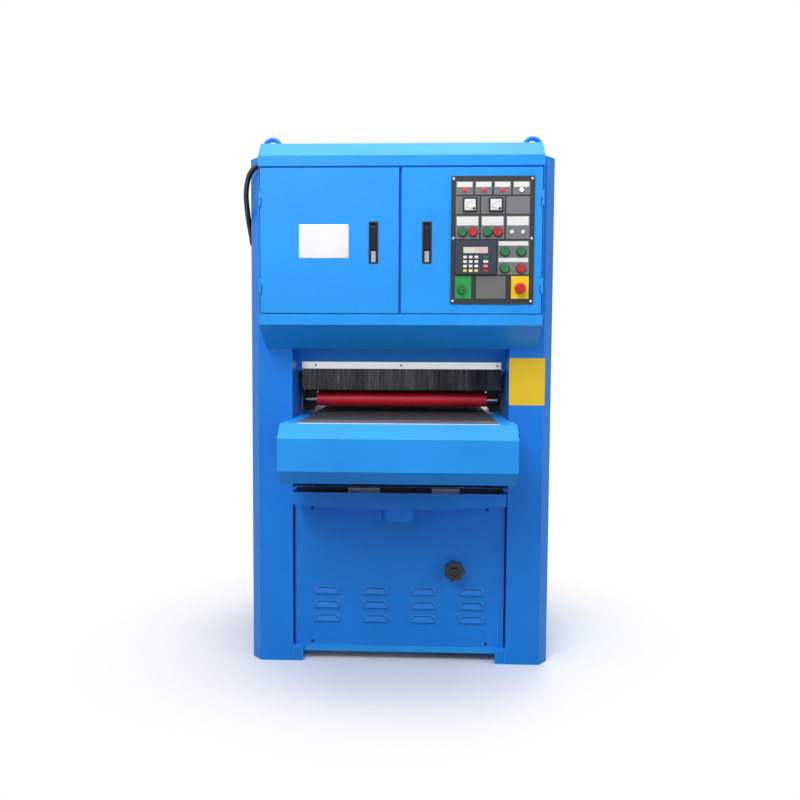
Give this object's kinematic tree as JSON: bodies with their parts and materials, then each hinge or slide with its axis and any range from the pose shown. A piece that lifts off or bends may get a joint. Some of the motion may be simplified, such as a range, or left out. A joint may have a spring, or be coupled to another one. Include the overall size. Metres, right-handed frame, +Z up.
{
  "type": "sheet metal deburring machine",
  "caption": "Wide-belt sheet metal deburring machine: two columns, a switch cabinet with a control panel over a conveyor table, an abrasive belt head and a brush head.",
  "frame": {"origin": "on the floor, at the middle of the machine's overall box", "axes": "+Z up, -Y towards the operator at the infeed side, +X to the operator's right"},
  "size_m": [1.122, 1.26, 1.9159],
  "materials": {
    "powder_light": "light blue powder coat, fine orange peel, satin",
    "powder_blue": "light blue powder coat, satin",
    "stainless": "brushed stainless sheet",
    "aluminium_bar": "extruded aluminium",
    "bristle": "black nylon bristles",
    "rubber_belt": "dark grey rubber conveyor belt with a fine rough top",
    "red_rubber": "red rubber sleeve",
    "black_rubber": "black rubber",
    "black_conveyor_rubber": "black rubber lagging",
    "steel_roller": "ground steel",
    "abrasive": "brown abrasive cloth belt",
    "abrasive_brush": "abrasive flap brush",
    "motor_grey": "grey machine paint",
    "black_iron": "blackened iron",
    "black_plastic": "black moulded plastic",
    "chrome_lock": "chromed zinc",
    "module_grey": "light grey plastic",
    "green_button": "green plastic",
    "red_button": "red plastic"
  },
  "bodies": {
    "frame": {"base_frame": "powder_light", "left_column": "powder_blue", "right_column": "powder_blue", "access_covers": "powder_light", "cabinet_shell": "powder_light", "cabinet_cap": "powder_light", "component_plate": "motor_grey", "head_housing": "powder_light", "lifting_eyes": "powder_blue", "brush_holder": "aluminium_bar", "bristle_curtain": "bristle", "lower_panel": "powder_blue", "dust_tray": "powder_blue", "conduit": "black_plastic", "conduit_glands": "black_plastic", "bearing_blocks": "black_iron", "head_beam": "powder_light", "head_motors": "motor_grey", "abrasive_belt": "abrasive", "drive_belts": "black_rubber", "base_drives": "black_iron"},
    "table": {"table_frame": "powder_light", "table_cover": "powder_light", "infeed_plate": "stainless", "conveyor_belt": "rubber_belt"},
    "left_door": {"left_door": "powder_light", "left_latch_tray": "black_plastic"},
    "right_door": {"right_door": "powder_light", "right_latch_tray": "black_plastic", "control_panel": "black_plastic", "panel_modules": "module_grey", "panel_instruments": "module_grey"},
    "drive_roller": {"drive_roller": "black_conveyor_rubber"},
    "nose_roller": {"nose_roller": "steel_roller"},
    "front_hold_down_roller": {"front_hold_down_roller": "red_rubber"},
    "rear_hold_down_roller": {"rear_hold_down_roller": "red_rubber"},
    "contact_drum": {"contact_drum": "black_rubber"},
    "tension_roller": {"tension_roller": "steel_roller"},
    "brush_roller": {"brush_roller": "abrasive_brush"},
    "belt_motor_pulley": {"belt_motor_pulley": "motor_grey"},
    "lift_screw_front_left": {"lift_screw_front_left": "steel_roller"},
    "lift_screw_front_right": {"lift_screw_front_right": "steel_roller"},
    "lift_screw_rear_left": {"lift_screw_rear_left": "steel_roller"},
    "lift_screw_rear_right": {"lift_screw_rear_right": "steel_roller"},
    "speed_handwheel": {"speed_handwheel": "black_plastic"},
    "left_latch_lever": {"left_latch_lever": "black_plastic"},
    "left_latch_lock": {"left_latch_lock": "chrome_lock"},
    "right_latch_lever": {"right_latch_lever": "black_plastic"},
    "right_latch_lock": {"right_latch_lock": "chrome_lock"},
    "belt_start_button": {"belt_start_button": "green_button"},
    "belt_stop_button": {"belt_stop_button": "red_button"},
    "brush_start_button": {"brush_start_button": "green_button"},
    "brush_stop_button": {"brush_stop_button": "red_button"},
    "table_up_button": {"table_up_button": "green_button"},
    "table_down_button": {"table_down_button": "green_button"},
    "feed_start_button": {"feed_start_button": "green_button"},
    "feed_stop_button": {"feed_stop_button": "red_button"},
    "power_selector": {"power_selector": "green_button"},
    "emergency_stop": {"emergency_stop": "red_button"}
  },
  "joints": [
    {"name": "table_lift", "type": "slide", "parent": "frame", "child": "table", "axis": [0, 0, 1], "range_m": [-0.08, 0.02]},
    {"name": "drive_roller_spin", "type": "hinge", "parent": "table", "child": "drive_roller", "pos_m": [0, 0.57, 0.857], "axis": [1, 0, 0], "continuous": true},
    {"name": "nose_roller_spin", "type": "hinge", "parent": "table", "child": "nose_roller", "pos_m": [0, -0.38, 0.857], "axis": [1, 0, 0], "continuous": true},
    {"name": "front_hold_down_roller_spin", "type": "hinge", "parent": "frame", "child": "front_hold_down_roller", "pos_m": [0, -0.035, 0.963], "axis": [1, 0, 0], "continuous": true},
    {"name": "rear_hold_down_roller_spin", "type": "hinge", "parent": "frame", "child": "rear_hold_down_roller", "pos_m": [0, 0.44, 0.963], "axis": [1, 0, 0], "continuous": true},
    {"name": "contact_drum_spin", "type": "hinge", "parent": "frame", "child": "contact_drum", "pos_m": [0, 0.09, 1.0095], "axis": [1, 0, 0], "continuous": true},
    {"name": "tension_roller_spin", "type": "hinge", "parent": "frame", "child": "tension_roller", "pos_m": [0, 0.09, 1.582], "axis": [1, 0, 0], "continuous": true},
    {"name": "brush_roller_spin", "type": "hinge", "parent": "frame", "child": "brush_roller", "pos_m": [0, 0.31, 1.028], "axis": [1, 0, 0], "continuous": true},
    {"name": "belt_motor_pulley_spin", "type": "hinge", "parent": "frame", "child": "belt_motor_pulley", "pos_m": [0, 0.35, 1.5], "axis": [1, 0, 0], "continuous": true},
    {"name": "lift_screw_front_left_turn", "type": "hinge", "parent": "frame", "child": "lift_screw_front_left", "pos_m": [-0.362, -0.1, 0.4], "axis": [0, 0, 1], "range_deg": [-1201, 4801]},
    {"name": "lift_screw_front_right_turn", "type": "hinge", "parent": "frame", "child": "lift_screw_front_right", "pos_m": [0.362, -0.1, 0.4], "axis": [0, 0, 1], "range_deg": [-1201, 4801]},
    {"name": "lift_screw_rear_left_turn", "type": "hinge", "parent": "frame", "child": "lift_screw_rear_left", "pos_m": [-0.362, 0.45, 0.4], "axis": [0, 0, 1], "range_deg": [-1201, 4801]},
    {"name": "lift_screw_rear_right_turn", "type": "hinge", "parent": "frame", "child": "lift_screw_rear_right", "pos_m": [0.362, 0.45, 0.4], "axis": [0, 0, 1], "range_deg": [-1201, 4801]},
    {"name": "speed_handwheel_turn", "type": "hinge", "parent": "frame", "child": "speed_handwheel", "pos_m": [0.202, -0.25, 0.35], "axis": [0, 1, 0], "range_deg": [-900, 900]},
    {"name": "left_door_hinge", "type": "hinge", "parent": "frame", "child": "left_door", "pos_m": [-0.481, -0.395, 1.52], "axis": [0, 0, -1], "range_deg": [0, 110]},
    {"name": "left_latch_tilt", "type": "hinge", "parent": "left_door", "child": "left_latch_lever", "pos_m": [-0.091, -0.397, 1.5714], "axis": [-1, 0, 0], "range_deg": [0, 35]},
    {"name": "left_lock_push", "type": "slide", "parent": "left_door", "child": "left_latch_lock", "axis": [0, 1, 0], "range_m": [0, 0.003], "stiffness_N_per_m": 1500},
    {"name": "right_door_hinge", "type": "hinge", "parent": "frame", "child": "right_door", "pos_m": [0.481, -0.395, 1.52], "axis": [0, 0, 1], "range_deg": [0, 110]},
    {"name": "right_latch_tilt", "type": "hinge", "parent": "right_door", "child": "right_latch_lever", "pos_m": [0.091, -0.397, 1.5714], "axis": [-1, 0, 0], "range_deg": [0, 35]},
    {"name": "right_lock_push", "type": "slide", "parent": "right_door", "child": "right_latch_lock", "axis": [0, 1, 0], "range_m": [0, 0.003], "stiffness_N_per_m": 1500},
    {"name": "belt_start_push", "type": "slide", "parent": "right_door", "child": "belt_start_button", "axis": [0, 1, 0], "range_m": [0, 0.004], "stiffness_N_per_m": 800},
    {"name": "belt_stop_push", "type": "slide", "parent": "right_door", "child": "belt_stop_button", "axis": [0, 1, 0], "range_m": [0, 0.004], "stiffness_N_per_m": 800},
    {"name": "brush_start_push", "type": "slide", "parent": "right_door", "child": "brush_start_button", "axis": [0, 1, 0], "range_m": [0, 0.004], "stiffness_N_per_m": 800},
    {"name": "brush_stop_push", "type": "slide", "parent": "right_door", "child": "brush_stop_button", "axis": [0, 1, 0], "range_m": [0, 0.004], "stiffness_N_per_m": 800},
    {"name": "table_up_push", "type": "slide", "parent": "right_door", "child": "table_up_button", "axis": [0, 1, 0], "range_m": [0, 0.004], "stiffness_N_per_m": 800},
    {"name": "table_down_push", "type": "slide", "parent": "right_door", "child": "table_down_button", "axis": [0, 1, 0], "range_m": [0, 0.004], "stiffness_N_per_m": 800},
    {"name": "feed_start_push", "type": "slide", "parent": "right_door", "child": "feed_start_button", "axis": [0, 1, 0], "range_m": [0, 0.004], "stiffness_N_per_m": 800},
    {"name": "feed_stop_push", "type": "slide", "parent": "right_door", "child": "feed_stop_button", "axis": [0, 1, 0], "range_m": [0, 0.004], "stiffness_N_per_m": 800},
    {"name": "power_selector_turn", "type": "hinge", "parent": "right_door", "child": "power_selector", "pos_m": [0.2098, -0.4, 1.35943], "axis": [0, 1, 0], "range_deg": [-45, 45]},
    {"name": "emergency_stop_push", "type": "slide", "parent": "right_door", "child": "emergency_stop", "axis": [0, 1, 0], "range_m": [0, 0.006]}
  ],
  "couplings": [
    {"joint": "nose_roller_spin", "follows": "drive_roller_spin", "ratio": 1},
    {"joint": "tension_roller_spin", "follows": "contact_drum_spin", "ratio": 1.4},
    {"joint": "belt_motor_pulley_spin", "follows": "contact_drum_spin", "ratio": 1.1},
    {"joint": "lift_screw_front_left_turn", "follows": "table_lift", "rad_per_m": -1047.2},
    {"joint": "lift_screw_front_right_turn", "follows": "table_lift", "rad_per_m": -1047.2},
    {"joint": "lift_screw_rear_left_turn", "follows": "table_lift", "rad_per_m": -1047.2},
    {"joint": "lift_screw_rear_right_turn", "follows": "table_lift", "rad_per_m": -1047.2}
  ]
}
